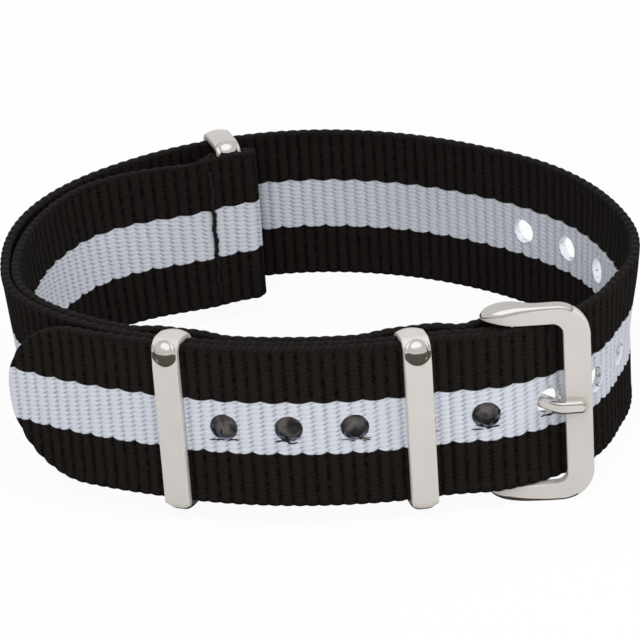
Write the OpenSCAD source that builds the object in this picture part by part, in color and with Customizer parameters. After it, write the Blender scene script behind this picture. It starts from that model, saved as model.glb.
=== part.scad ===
// Striped nylon watch strap, buckled into a loop and standing on its edge.
// One long webbing strap folds round a buckle pin, runs round the loop, passes
// through the buckle and two metal keepers, and ends in a loose round tip. A
// short strap is sewn inside it and carries a third ring in its end loop.

/* [Webbing] */
// Width of the webbing
strap_w = 19.8; // [16:0.1:24]
// Thickness of the webbing
strap_t = 1.05; // [0.8:0.05:1.4]
// Width of the white middle stripe
stripe_w = 6.3; // [3:0.1:9]
// Gap between two layers that lie on each other
layer_gap = 0.12; // [0.08:0.01:0.25]

/* [Loop] */
// Width of the closed loop, over the long strap
loop_w = 74.4; // [66:0.2:84]
// Depth of the closed loop, over the long strap
loop_d = 61.8; // [56:0.2:70]
// How far the oval leans along its diagonal
loop_skew = -1.4; // [-2.4:0.1:0]
// How much flatter the front is than the back
loop_egg = -1.4; // [-2.2:0.1:0]
// How much the front left and the back right bulge
loop_bulge = 0.25; // [0:0.05:0.5]

/* [Free tail] */
// Direction in which the buckle pin lies, where 270 is the front
pin_angle = 288; // [280:0.5:292]
// Length of the tail from the pin to its tip
tail_len = 59; // [54:0.1:64]
// How far the loose tip stands off the strap beneath it
tip_spread = 2.6; // [0.3:0.1:4]
// Distance from the pin to the hole that the tongue is in
tongue_hole_at = 4.95; // [4.8:0.05:5.3]
// Distance between two holes
hole_pitch = 7.3; // [6.6:0.05:7.6]
// Distance between two holes past the second one behind the buckle
back_pitch = 7.65; // [6.6:0.05:8]
// Diameter of a hole
hole_d = 3.1; // [2.4:0.1:3.4]
// Number of holes between the tongue and the tip
holes_front = 5; // [2:1:5]
// Number of holes on the other side of the tongue
holes_back = 7; // [3:1:8]

/* [Buckle] */
// Radius of the buckle pin
pin_r = 0.75; // [0.6:0.05:0.95]
// Distance from the pin to the middle of the front bar
bar_reach = 8.9; // [8.4:0.1:9.6]
// Width of the front bar
bar_w = 3; // [2.4:0.1:3.4]
// Thickness of the front bar
bar_t = 1.7; // [1.3:0.1:2]
// How far the front face lies before the pin's axis
front_rise = 2.05; // [1.9:0.05:2.4]
// Height of an arm beside the webbing
arm_h = 2.15; // [1.8:0.05:2.6]
// Radius of the arm's round end about the pin
eye_r = 1.7; // [1.5:0.05:1.9]
// Radius of the frame's outer corners
corner_r = 3.8; // [2.5:0.1:5]
// Angle between the frame and the loop's tangent
buckle_lift = 18; // [14:0.5:20]
// Width of the tongue
tongue_w = 1.6; // [1.2:0.1:2]
// Thickness of the tongue
tongue_t = 1.1; // [0.9:0.05:1.2]

/* [Keepers] */
// Width of a keeper
keeper_w = 3; // [2.4:0.1:3.6]
// Thickness of a keeper's metal
keeper_t = 0.8; // [0.6:0.05:1]
// Radius of a keeper's outer corners
keeper_r = 1.5; // [1.1:0.1:1.9]
// Distance from the pin to the near keeper
near_at = 9.3; // [8.8:0.1:10]
// Distance from the near keeper to the far keeper
far_after = 28.3; // [26:0.1:30]
// Depth of the end ring over its two bars
end_ring_d = 7.2; // [6.6:0.1:8]

/* [Short strap] */
// Direction in which the end ring lies, where 90 is the back
ring_angle = 105.5; // [100:0.5:108]
// Direction in which the short strap leaves the long one
leave_angle = 146; // [140:1:152]
// Length of the sewn end loop
end_loop_len = 6.6; // [6:0.1:8]
// Diameter of the sewing thread
thread_d = 0.36; // [0.25:0.01:0.45]
// Length of one stitch
stitch_len = 1.7; // [1.2:0.1:2.4]

/* [Hidden] */
$fn = 48;

webbing_black = "#1c1917";
webbing_white = "#cdd1de";
steel = "#d0cbc6";
thread_black = "#0e0d0c";

// Clearances
pin_fit = 0.08;        // webbing and tongue round the pin
press_fit = 0.02;      // pin in the arms
side_gap = 0.1;        // arms and keepers beside the webbing
ring_gap = 0.15;       // keeper bars before and behind the webbing
slot_gap = 0.4;        // slot in the fold beside the tongue
inside_keeper_r = 0.25; // tight inner corners, clear of the webbing's edges
seam = 0.05;           // loose tip and the tail that it belongs to
rest_gap = 0.08;       // tongue on the bar
end_gap = 0.1;         // pin's ends in the arms
far_out = 60;

mid_z = strap_w/2;
opening = strap_w + 2*side_gap;
frame_h = opening + 2*arm_h;
keeper_h = strap_w + 2*side_gap + 2*keeper_t;
pin_len = opening + arm_h;
fold_row_at = 5;       // first row of stitches, from the pin
keeper_row_at = 5.2;   // rows beside the far keeper, from its middle
ring_row_at = 3.2;     // row beside the end ring, from its middle
hump_from = 0.4;       // pocket for a keeper's bar, from the bar's edge
hump_len = 4.6;
tab_past = 6.5;        // tab of the fold, past the near keeper
tab_gap = 0.25;        // between the tab and the short strap, in degrees
rise_after = 1.8;      // run to the fold rises, from the near keeper, in degrees
fall_after = 4;        // tail comes down to the loop, from the pin, in degrees
fall_length = 38;
tongue_wall = 0.7;     // metal round the pin
tongue_short = 0.9;    // tip of the tongue, from the bar's outer edge
tongue_in = 0.15;      // straight part of the tongue, inward of the pin's axis
tongue_bend = 3;       // length of the tongue's bend, and how far before
tongue_flat = 0.3;     // the bar it ends

// The loop is the outline whose distance from the middle, measured along the
// direction a, is reach(a). It is the outer face of the long strap.
lw = (loop_w + loop_d)/4;
ld = (loop_w - loop_d)/4;
function reach(a) = lw + ld*cos(2*a) + loop_skew*sin(2*a) + loop_egg*sin(3*a)
                    + loop_bulge*sin(4*a);
function turn_in(a) = -2*ld*sin(2*a) + 2*loop_skew*cos(2*a) + 3*loop_egg*cos(3*a)
                      + 4*loop_bulge*cos(4*a);
function bend_r(a) = lw - 3*ld*cos(2*a) - 3*loop_skew*sin(2*a) - 8*loop_egg*sin(3*a)
                     - 15*loop_bulge*sin(4*a);

// Point in direction a, moved outward by o
function at(a, o = 0) = let(h = reach(a) + o, q = turn_in(a))
    [h*cos(a) - q*sin(a), h*sin(a) + q*cos(a)];

// Direction reached from a after going s along the loop, moved outward by o
function along(a, s, o = 0) = let(d = 180/PI/(bend_r(a) + o))
    abs(s) <= 0.5 ? a + s*d : along(a + sign(s)*0.5*d, s - sign(s)*0.5, o);

// Smooth step from 0 at a0 to 1 at a1, and a smooth hump about a keeper at a0
function ease(a, a0, a1) = let(u = max(0, min(1, (a - a0)/(a1 - a0)))) u*u*(3 - 2*u);
function hump(a, a0) = let(s = abs(a - a0)*PI/180*bend_r(a0))
    1 - ease(s, keeper_w/2 + hump_from, keeper_w/2 + hump_from + hump_len);

// Offsets from the loop, of outer faces, outward
tail_o = layer_gap + strap_t;
pin_o = -0.55;
run_rise = pin_o + pin_r + pin_fit + strap_t;

// Places along the loop, as directions
near_a = along(pin_angle, -near_at, tail_o);
far_a = along(near_a, -far_after, tail_o);
tip_a = along(pin_angle, -tail_len, tail_o);
tongue_a = along(pin_angle, tongue_hole_at, tail_o);
span_left_a = along(tongue_a, -1.5*hole_pitch, tail_o);
span_right_a = along(tongue_a, 2.5*hole_pitch, tail_o);
tip_seam_a = along(far_a, -keeper_w/2 - 1, tail_o);
tab_end_a = along(near_a, -tab_past, 0);
rise_a0 = near_a + rise_after;
fall_a0 = pin_angle + fall_after;
fall_a1 = fall_a0 + fall_length;

// Outer face of the run that starts at the fold, and of the free tail
function run_o(a) = run_rise*ease(a, rise_a0, pin_angle);
function tail_face(a) = a < fall_a0
    ? tail_o + run_o(a) + tip_spread*pow(max(0, tip_seam_a - a)/(tip_seam_a - tip_a), 1.4)
    : (tail_o + run_rise)*(1 - ease(a, fall_a0, fall_a1));

// Places of the holes along the webbing's middle
function hole_a(k) = k == 0 ? tongue_a : let(a = hole_a(k - sign(k)))
    along(a, k > 2 ? back_pitch : sign(k)*hole_pitch, tail_face(a) - strap_t/2);
tongue_hole_a = [for (k = [-holes_front : holes_back]) hole_a(k)];

// Outer face of the layer inside the run, which gives way to the keepers' bars
keeper_dip = keeper_t + 2*ring_gap - layer_gap;
fold_gap = 2*(pin_r + pin_fit);
loop_r = keeper_t/2 + ring_gap;
function inner_face(a) = run_o(a) - strap_t - layer_gap
    - keeper_dip*(hump(a, near_a) + hump(a, far_a))
    - (fold_gap - layer_gap)*ease(a, near_a + 5, pin_angle);

// The short strap leaves the long one towards its ring
loop_mid_o = ring_gap + 1.5*keeper_t - end_ring_d;
short_end_o = loop_mid_o - loop_r;
stitch_a = along(ring_angle, ring_row_at, short_end_o);
closing_a = along(ring_angle, keeper_w/2 + ring_gap, short_end_o);
function short_face(a) = -strap_t - layer_gap
    + (short_end_o + strap_t + layer_gap)*ease(-a, -leave_angle, -stitch_a + 1);

// Points of a strip of thickness t about a line of points
function unit(v) = v/norm(v);
function normal_at(p, i) = let(
    v = unit(p[min(i + 1, len(p) - 1)] - p[max(i - 1, 0)])) [-v[1], v[0]];
function strip(p, t) = concat(
    [for (i = [0 : len(p) - 1]) p[i] + t/2*normal_at(p, i)],
    [for (i = [len(p) - 1 : -1 : 0]) p[i] - t/2*normal_at(p, i)]);
function arc(c, r, a0, a1, n) = [for (i = [0 : n]) c + r*[cos(a0 + (a1 - a0)*i/n), sin(a0 + (a1 - a0)*i/n)]];
function steps(a0, a1, d) = let(n = max(1, round(abs(a1 - a0)/d))) [for (i = [0 : n]) a0 + (a1 - a0)*i/n];

// Rounded rectangle between two corners
function rounded(lo, hi, r) = concat(
    arc([hi[0] - r, hi[1] - r], r, 0, 90, 6), arc([lo[0] + r, hi[1] - r], r, 90, 180, 6),
    arc([lo[0] + r, lo[1] + r], r, 180, 270, 6), arc([hi[0] - r, lo[1] + r], r, 270, 360, 6));

// Place with x along the loop, y inward and z up
module on_loop(a, o = 0) {
    translate([at(a, o)[0], at(a, o)[1], 0]) rotate(a - 270) children();
}

// Place with the pin's axis as z and x towards the front bar
module on_pin(extra = 0) {
    translate([at(pin_angle, pin_o)[0], at(pin_angle, pin_o)[1], 0])
        rotate(pin_angle - 270 - buckle_lift + extra) children();
}

// The part stands on its lowest point, with its middle over the origin
bar_tip = at(pin_angle, pin_o) + (bar_reach + bar_w/2)*[cos(pin_angle - 270 - buckle_lift),
    sin(pin_angle - 270 - buckle_lift)];
front_y = at(near_a, tail_o + ring_gap + keeper_t)[1] - keeper_w/2*sin(near_a - 270);
back_y = at(ring_angle, ring_gap + keeper_t)[1] + keeper_w/2*sin(ring_angle - 90);
middle = [(at(0)[0] + at(180)[0])/2, (front_y + back_y)/2];
module placed() {
    translate([-middle[0], -middle[1], (frame_h - strap_w)/2]) children();
}

// Webbing in three stripes, extruded from its outline seen from above
module stripes(outline) {
    edge = (strap_w - stripe_w)/2;
    color(webbing_black) linear_extrude(edge) polygon(outline);
    color(webbing_white) translate([0, 0, edge]) linear_extrude(stripe_w) polygon(outline);
    color(webbing_black) translate([0, 0, edge + stripe_w]) linear_extrude(edge) polygon(outline);
}

// Centre line of the long strap: tab, fold round the pin, run and loop
fold_mid_r = pin_r + pin_fit + strap_t/2;
fold_line = concat(
    [for (a = steps(tab_end_a, pin_angle - 1, 1)) at(a, inner_face(a) - strap_t/2)],
    arc(at(pin_angle, pin_o), fold_mid_r, pin_angle - 180, pin_angle - 360, 24),
    [for (a = steps(pin_angle - 1, near_a, 1)) at(a, run_o(a) - strap_t/2)],
    [for (a = steps(near_a - 3, span_right_a - 360, 3)) at(a, -strap_t/2)]);

module long_strap() {
    placed() difference() {
        stripes(strip(fold_line, strap_t));
        color(webbing_black) fold_slot();
        color(webbing_black) pin_bore();
        color(webbing_white) loop_holes();
    }
}

module fold_slot() {
    slot_h = tongue_w + 2*slot_gap;
    on_pin() translate([-pin_r - pin_fit - strap_t - 1.2, -far_out/10, mid_z - slot_h/2])
        cube([far_out/5, far_out/5, slot_h]);
}

module pin_bore() {
    on_pin() translate([0, 0, -1]) cylinder(h = strap_w + 2, r = pin_r + pin_fit);
}

module loop_holes() {
    for (a = tongue_hole_a)
        if (a > span_right_a)
            on_loop(a) translate([0, 0, mid_z]) rotate([90, 0, 0])
                cylinder(h = 4*strap_t, d = hole_d, center = true);
}

// The free tail, in three stretches that bend by themselves
function tail_line(a0, a1) = [for (a = steps(a0, a1, 1.5)) at(a, tail_face(a) - strap_t/2)];

module tail_holes() {
    for (a = tongue_hole_a)
        if (a < span_right_a)
            on_loop(a, tail_face(a) - strap_t/2) translate([0, 0, mid_z]) rotate([90, 0, 0])
                cylinder(h = 3*strap_t, d = hole_d, center = true);
}

module strap_buckle_span() {
    placed() difference() {
        stripes(strip(tail_line(span_left_a, span_right_a), strap_t));
        color(webbing_white) tail_holes();
    }
}

module strap_tail() {
    placed() difference() {
        stripes(strip(tail_line(tip_seam_a, span_left_a), strap_t));
        color(webbing_white) tail_holes();
    }
}

// The tip is rounded as wide as the webbing
module strap_tip() {
    placed() intersection() {
        stripes(strip(tail_line(tip_a, along(tip_seam_a, -seam, tail_o)), strap_t));
        on_loop(along(tip_a, mid_z, tail_o), tail_o) rotate([90, 0, 0]) translate([0, mid_z, -far_out/10])
            linear_extrude(far_out/5) union() {
                circle(r = mid_z, $fn = 96);
                translate([0, -mid_z]) square([far_out, strap_w]);
            }
    }
}

// Centre line of the short strap. Its end is turned over the end ring's inner
// bar and comes back to the row of stitches.
loop_end_a = along(ring_angle, -(end_loop_len - strap_t - ring_row_at - loop_r), short_end_o);
loop_closing = 2*loop_r - layer_gap;
function loop_back_o(a) = loop_mid_o + loop_r - loop_closing*ease(a, closing_a, stitch_a);
short_line = concat(
    [for (a = steps(tab_end_a - tab_gap, leave_angle, 1.5)) at(a, inner_face(a) - strap_t/2)],
    [for (a = steps(leave_angle - 1.5, stitch_a + 1, 1.5)) at(a, short_face(a) - strap_t/2)],
    [for (a = steps(stitch_a, loop_end_a + 1, 1)) at(a, short_end_o - strap_t/2)],
    arc(at(loop_end_a, loop_mid_o), loop_r + strap_t/2, loop_end_a - 180, loop_end_a, 20),
    [for (a = steps(loop_end_a + 1, stitch_a + 1.5, 0.75)) at(a, loop_back_o(a) + strap_t/2)]);

module short_strap() {
    placed() stripes(strip(short_line, strap_t));
}

// Outline of an arm seen from above: flat front, round end about the pin
front_y0 = -front_rise;
inside_r = 0.9;
arm_slope_x = 2.4*eye_r;
bar_x0 = bar_reach - bar_w/2;
bar_x1 = bar_reach + bar_w/2;
arm_outline = concat(
    [[bar_x1, front_y0], [bar_x1, front_y0 + bar_t], [arm_slope_x, front_y0 + bar_t]],
    arc([0, 0], eye_r, 60, 180, 16),
    arc([eye_r*0.9 - eye_r, 0], eye_r, 180, 200, 3),
    [[-0.75*eye_r, -0.85*eye_r], [0.2*eye_r, front_y0]]);

// Outline of the frame seen from the front: the arms narrow to round ends
end_len = 2.8*eye_r;
end_drop = 0.85*arm_h;
function arm_end(side) = [for (k = [0 : 10]) let(a = 90*k/10)
    [-eye_r + end_len*(1 - cos(a)), side*(opening/2 + arm_h - end_drop + end_drop*sin(a))]];
frame_outline = concat(
    arc([bar_x1 - corner_r, frame_h/2 - corner_r], corner_r, 0, 90, 12),
    [for (k = [10 : -1 : 0]) arm_end(1)[k]],
    arm_end(-1),
    arc([bar_x1 - corner_r, corner_r - frame_h/2], corner_r, 270, 360, 12));

// Section of the arms seen along them, with round backs
back_r = 0.9;
arm_section = rounded([front_y0 - back_r, -frame_h/2], [eye_r, frame_h/2], back_r);

module buckle_frame() {
    placed() color(steel) on_pin() translate([0, 0, mid_z]) difference() {
        intersection() {
            linear_extrude(frame_h, center = true) polygon(arm_outline);
            rotate([90, 0, 0]) linear_extrude(far_out, center = true) polygon(frame_outline);
            rotate([90, 0, 90]) linear_extrude(far_out, center = true) polygon(arm_section);
        }
        rotate([90, 0, 0]) linear_extrude(far_out, center = true)
            polygon(rounded([-far_out, -opening/2], [bar_x0, opening/2], inside_r));
        cylinder(h = pin_len + 2*end_gap, r = pin_r + press_fit, center = true);
    }
}

module buckle_pin() {
    placed() color(steel) on_pin() translate([0, 0, mid_z])
        cylinder(h = pin_len, r = pin_r, center = true);
}

tongue_flat_x = bar_x0 - tongue_flat;
tongue_bend_x = tongue_flat_x - tongue_bend;

// Side of the tongue: straight from the pin, bent through the hole, flat on the bar
tongue_y = front_y0 - rest_gap - tongue_t/2;
function tongue_at(x) = [x, tongue_in + (tongue_y - tongue_in)*ease(x, tongue_bend_x, tongue_flat_x)];
tongue_line = concat([tongue_at(pin_r)],
    [for (k = [0 : 16]) tongue_at(tongue_bend_x + (tongue_flat_x - tongue_bend_x)*k/16)],
    [tongue_at(bar_x1 - tongue_short)]);

module buckle_tongue() {
    placed() color(steel) on_pin() translate([0, 0, mid_z]) difference() {
        union() {
            cylinder(h = tongue_w, r = pin_r + pin_fit + tongue_wall, center = true);
            linear_extrude(tongue_w, center = true) polygon(strip(tongue_line, tongue_t));
        }
        cylinder(h = tongue_w + 1, r = pin_r + pin_fit, center = true);
    }
}

// Ring of flat metal: y from lo to hi inward, z from the bottom
module ring(y0, y1) {
    z0 = -side_gap - keeper_t;
    rotate([90, 0, 90]) linear_extrude(keeper_w, center = true) difference() {
        polygon(rounded([y0, z0], [y1, z0 + keeper_h], keeper_r));
        polygon(rounded([y0 + keeper_t, z0 + keeper_t],
            [y1 - keeper_t, z0 + keeper_h - keeper_t], inside_keeper_r));
    }
}

module keeper_near() {
    placed() color(steel) on_loop(near_a)
        ring(-tail_o - ring_gap - keeper_t, strap_t + ring_gap + keeper_t);
}

module keeper_far() {
    placed() color(steel) on_loop(far_a)
        ring(-tail_o - ring_gap - keeper_t, strap_t + ring_gap + keeper_t);
}

module keeper_end_ring() {
    placed() color(steel) on_loop(ring_angle)
        ring(-ring_gap - keeper_t, end_ring_d - ring_gap - keeper_t);
}

// Row of stitches across the webbing at direction a, through the layers whose
// outer and inner faces lie at o_out and o_in
thread_sink = 0.1;
row_margin = 1.2;
stitch_gap = 0.5;
module stitch_row(a, o_out, o_in) {
    stitch_count = floor((strap_w - 2*row_margin + stitch_gap)/(stitch_len + stitch_gap));
    z0 = mid_z - (stitch_count*(stitch_len + stitch_gap) - stitch_gap)/2;
    for (k = [0 : stitch_count - 1]) translate([0, 0, z0 + k*(stitch_len + stitch_gap)]) {
        on_loop(a, o_out - thread_sink) cylinder(h = stitch_len, d = thread_d, $fn = 16);
        on_loop(a, o_in + thread_sink) cylinder(h = stitch_len, d = thread_d, $fn = 16);
        on_loop(a, (o_out + o_in)/2) translate([0, 0, stitch_len/2]) rotate([90, 0, 0])
            cylinder(h = o_out - o_in - 2*thread_sink, d = 0.8*thread_d, center = true, $fn = 16);
    }
}

module fold_stitching() {
    placed() color(thread_black)
        for (a = [along(pin_angle, -fold_row_at, 0), along(near_a, -fold_row_at, 0)])
            stitch_row(a, run_o(a), inner_face(a) - strap_t);
}

module keeper_stitching() {
    placed() color(thread_black)
        for (a = [tab_end_a - 2.4, along(far_a, keeper_row_at, 0), along(far_a, -keeper_row_at, 0)])
            stitch_row(a, 0, inner_face(a) - strap_t);
}

module end_loop_stitching() {
    placed() color(thread_black) stitch_row(stitch_a, short_end_o + layer_gap + strap_t, short_end_o - strap_t);
}

long_strap();
strap_buckle_span();
strap_tail();
strap_tip();
short_strap();
buckle_frame();
buckle_pin();
buckle_tongue();
keeper_near();
keeper_far();
keeper_end_ring();
fold_stitching();
keeper_stitching();
end_loop_stitching();
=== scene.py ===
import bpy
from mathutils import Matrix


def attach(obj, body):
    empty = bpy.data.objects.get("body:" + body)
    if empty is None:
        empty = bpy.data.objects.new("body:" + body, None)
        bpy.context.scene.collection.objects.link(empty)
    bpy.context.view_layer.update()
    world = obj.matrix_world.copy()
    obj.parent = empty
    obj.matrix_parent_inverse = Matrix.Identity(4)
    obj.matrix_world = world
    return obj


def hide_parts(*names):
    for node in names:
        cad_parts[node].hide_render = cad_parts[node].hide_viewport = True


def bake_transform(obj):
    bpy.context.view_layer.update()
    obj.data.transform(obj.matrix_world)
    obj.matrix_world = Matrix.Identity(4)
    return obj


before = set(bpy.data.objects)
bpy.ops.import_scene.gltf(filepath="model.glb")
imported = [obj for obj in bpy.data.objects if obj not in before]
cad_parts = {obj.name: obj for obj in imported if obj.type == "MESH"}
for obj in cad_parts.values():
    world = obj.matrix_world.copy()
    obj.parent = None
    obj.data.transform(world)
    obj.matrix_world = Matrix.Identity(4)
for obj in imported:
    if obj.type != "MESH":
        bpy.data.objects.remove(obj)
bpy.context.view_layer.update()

# Looks of the striped nylon watch strap. Sizes are in millimetres, in the frame
# of the solids, and become metres where a mesh is made. Angles are in degrees.
import math

import bpy
import numpy as np
from mathutils import Matrix

MM = 0.001

# Sizes of the webbing and the loop, the same as those of the solids
STRAP_W = 19.8
STRAP_T = 1.05
STRIPE_W = 6.3
LAYER_GAP = 0.12
LOOP_W, LOOP_D = 74.4, 61.8
LOOP_SKEW, LOOP_EGG, LOOP_BULGE = -1.4, -1.4, 0.25
TAIL_LEN = 59
TIP_SPREAD, TIP_CURVE = 2.6, 1.4
TAB_PAST = 6.5
RISE_AFTER = 1.8
FALL_AFTER, FALL_LEN = 4, 38
FOLD_OPENS_AFTER = 5
HUMP_FLAT, HUMP_END = 0.4, 5
SPAN_PITCHES_LEFT, SPAN_PITCHES_RIGHT = 1.5, 2.5
TONGUE_HOLE_AT = 4.95
HOLE_PITCH = 7.3
BACK_PITCH = 7.65
HOLE_R = 1.55
HOLES_FRONT, HOLES_BACK = 5, 7

# Sizes of the buckle and the keepers, the same as those of the solids
PIN_ANGLE = 288
PIN_R = 0.75
PIN_O = -0.55
BAR_REACH, BAR_W, BAR_T = 8.9, 3, 1.7
FRONT_RISE = 2.05
ARM_H = 2.15
EYE_R = 1.7
BUCKLE_LIFT = 18
CORNER_R = 3.8
TONGUE_W, TONGUE_T, TONGUE_IN = 1.6, 1.1, 0.15
KEEPER_W, KEEPER_T, KEEPER_R = 3, 0.8, 1.5
NEAR_AT, FAR_AFTER, END_RING_D = 9.3, 28.3, 7.2
RING_ANGLE, LEAVE_ANGLE, END_LOOP_LEN = 105.5, 146, 6.6
RING_ROW_AT = 3.2
PIN_FIT, SIDE_GAP, RING_GAP = 0.08, 0.1, 0.15

MID_Z = STRAP_W / 2
OPENING = STRAP_W + 2 * SIDE_GAP
FRAME_H = OPENING + 2 * ARM_H
LOOP_MEAN = (LOOP_W + LOOP_D) / 4
LOOP_OVAL = (LOOP_W - LOOP_D) / 4


# The loop's outline and the offsets from it, as in the solids
def reach(a):
    """How far the outline's tangent that faces an angle lies from the middle."""
    a = np.radians(a)
    return (LOOP_MEAN + LOOP_OVAL * np.cos(2 * a) + LOOP_SKEW * np.sin(2 * a) + LOOP_EGG * np.sin(3 * a)
            + LOOP_BULGE * np.sin(4 * a))


def turn_in(a):
    """How far along that tangent the outline touches it."""
    a = np.radians(a)
    return (-2 * LOOP_OVAL * np.sin(2 * a) + 2 * LOOP_SKEW * np.cos(2 * a) + 3 * LOOP_EGG * np.cos(3 * a)
            + 4 * LOOP_BULGE * np.cos(4 * a))


def bend_r(a):
    """Radius of the outline's bend."""
    a = np.radians(a)
    return (LOOP_MEAN - 3 * LOOP_OVAL * np.cos(2 * a) - 3 * LOOP_SKEW * np.sin(2 * a)
            - 8 * LOOP_EGG * np.sin(3 * a) - 15 * LOOP_BULGE * np.sin(4 * a))


def at(a, o=0.0):
    """Point of the outline at an angle, moved outward by o."""
    h, q, r = reach(a) + o, turn_in(a), np.radians(a)
    return np.stack([h * np.cos(r) - q * np.sin(r), h * np.sin(r) + q * np.cos(r)], axis=-1)


def along(a, s, o=0.0):
    """The angle that lies a length s farther along the outline."""
    while abs(s) > 0.5:
        step = math.copysign(0.5, s)
        a += step * 180 / math.pi / (bend_r(a) + o)
        s -= step
    return a + s * 180 / math.pi / (bend_r(a) + o)


def ease(a, a0, a1):
    u = np.clip((a - a0) / (a1 - a0), 0, 1)
    return u * u * (3 - 2 * u)


def hump(a, a0):
    """1 where the layers go round a keeper's inner bar, and 0 away from it."""
    s = np.abs(a - a0) * np.pi / 180 * bend_r(a0)
    return 1 - ease(s, KEEPER_W / 2 + HUMP_FLAT, KEEPER_W / 2 + HUMP_END)


TAIL_O = LAYER_GAP + STRAP_T
RUN_RISE = PIN_O + PIN_R + PIN_FIT + STRAP_T
NEAR_A = along(PIN_ANGLE, -NEAR_AT, TAIL_O)
FAR_A = along(NEAR_A, -FAR_AFTER, TAIL_O)
TIP_A = along(PIN_ANGLE, -TAIL_LEN, TAIL_O)
TONGUE_A = along(PIN_ANGLE, TONGUE_HOLE_AT, TAIL_O)
SPAN_LEFT_A = along(TONGUE_A, -SPAN_PITCHES_LEFT * HOLE_PITCH, TAIL_O)
SPAN_RIGHT_A = along(TONGUE_A, SPAN_PITCHES_RIGHT * HOLE_PITCH, TAIL_O)
TIP_SEAM_A = along(FAR_A, -KEEPER_W / 2 - 1, TAIL_O)
TAB_END_A = along(NEAR_A, -TAB_PAST, 0)
RISE_A0 = NEAR_A + RISE_AFTER
FALL_A0 = PIN_ANGLE + FALL_AFTER
FALL_A1 = FALL_A0 + FALL_LEN


def run_o(a):
    """Outer face of the run, which rises to pass over the pin."""
    return RUN_RISE * ease(a, RISE_A0, PIN_ANGLE)


def tail_face(a):
    """Outer face of the tail, from the loose tip to where it meets the loop."""
    spread = TIP_SPREAD * (np.maximum(0, TIP_SEAM_A - a) / (TIP_SEAM_A - TIP_A)) ** TIP_CURVE
    fall = 1 - ease(a, FALL_A0, FALL_A1)
    return np.where(a < FALL_A0, TAIL_O + run_o(a) + spread, (TAIL_O + RUN_RISE) * fall)


def hole_a(k):
    """Angle of a hole, counted from the tongue's."""
    if k == 0:
        return TONGUE_A
    step = 1 if k > 0 else -1
    a = hole_a(k - step)
    return along(a, BACK_PITCH if k > 2 else step * HOLE_PITCH, float(tail_face(a)) - STRAP_T / 2)


HOLE_A = [hole_a(k) for k in range(-HOLES_FRONT, HOLES_BACK + 1)]
KEEPER_DIP = KEEPER_T + 2 * RING_GAP - LAYER_GAP
FOLD_GAP = 2 * (PIN_R + PIN_FIT)
LOOP_R = KEEPER_T / 2 + RING_GAP


def inner_face(a):
    """Outer face of the layer inside the run: the tab, and the short strap after it."""
    return (run_o(a) - STRAP_T - LAYER_GAP - KEEPER_DIP * (hump(a, NEAR_A) + hump(a, FAR_A))
            - (FOLD_GAP - LAYER_GAP) * ease(a, NEAR_A + FOLD_OPENS_AFTER, PIN_ANGLE))


LOOP_MID_O = RING_GAP + 1.5 * KEEPER_T - END_RING_D
SHORT_END_O = LOOP_MID_O - LOOP_R
STITCH_A = along(RING_ANGLE, RING_ROW_AT, SHORT_END_O)
CLOSING_A = along(RING_ANGLE, KEEPER_W / 2 + RING_GAP, SHORT_END_O)
LOOP_END_A = along(RING_ANGLE, -(END_LOOP_LEN - STRAP_T - RING_ROW_AT - LOOP_R), SHORT_END_O)


def short_face(a):
    """Outer face of the short strap where it leaves the loop for its end."""
    return -STRAP_T - LAYER_GAP + (SHORT_END_O + STRAP_T + LAYER_GAP) * ease(-a, -LEAVE_ANGLE, -STITCH_A + 1)


def loop_back_o(a):
    """Inner face of the short strap's turned end."""
    return LOOP_MID_O + LOOP_R - (2 * LOOP_R - LAYER_GAP) * ease(a, CLOSING_A, STITCH_A)


FRONT_Y = at(NEAR_A, TAIL_O + RING_GAP + KEEPER_T)[1] - KEEPER_W / 2 * math.sin(math.radians(NEAR_A - 270))
BACK_Y = at(RING_ANGLE, RING_GAP + KEEPER_T)[1] + KEEPER_W / 2 * math.sin(math.radians(RING_ANGLE - 90))
MIDDLE = np.array([(at(0)[0] + at(180)[0]) / 2, (FRONT_Y + BACK_Y) / 2])
LIFT = (FRAME_H - STRAP_W) / 2
PIN = at(PIN_ANGLE, PIN_O)


def placed(points):
    """Points of the loop's own plan, in the frame and in metres."""
    p = np.array(points, dtype=float)
    p[..., 0] -= MIDDLE[0]
    p[..., 1] -= MIDDLE[1]
    p[..., 2] += LIFT
    return p * MM


def bump(a, middle, half):
    return np.clip(1 - ((a - middle) / half) ** 2, 0, 1) ** 2


def stretch(a, middle, half):
    """A bump on one stretch of the loop."""
    return bump((a - middle + 180) % 360, 180, half)


# How far the loop's two ends lean out at the top and in at the foot
LEFT_TOP_OUT, LEFT_FOOT_IN = 1.1, 0.57
FAR_LEFT_FOOT_IN = 1.7
RIGHT_TOP_OUT, RIGHT_FOOT_IN = 0.5, 1.35


def lean(points, apart=0.0):
    """The soft loop stands a little wider at its top than at its foot, at both ends."""
    p = np.array(points, dtype=float)
    a = np.degrees(np.arctan2(p[..., 1], p[..., 0])) % 360
    up = p[..., 2] / STRAP_W
    out = stretch(a, 148, 38) * ((LEFT_TOP_OUT + LEFT_FOOT_IN) * up - LEFT_FOOT_IN)
    out += stretch(a, 183, 24) * FAR_LEFT_FOOT_IN * (up - 1)
    out += stretch(a, 25, 26) * RIGHT_TOP_OUT * up
    out -= stretch(a, 350, 32) * RIGHT_FOOT_IN * ease(1 - up, 0, 0.6)
    out += stretch(a, 158, 30) * apart
    p[..., 0] += out * np.cos(np.radians(a))
    p[..., 1] += out * np.sin(np.radians(a))
    return p


def sweep(a0, a1, face):
    """Points along the outline every half degree, moved out by face(angle)."""
    a = np.linspace(a0, a1, max(2, int(abs(a1 - a0) / 0.5)))
    return at(a, face(a))


def arc(c, r, a0, a1, n=24):
    t = np.radians(np.linspace(a0, a1, n))
    return np.stack([c[0] + r * np.cos(t), c[1] + r * np.sin(t)], axis=-1)


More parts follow.
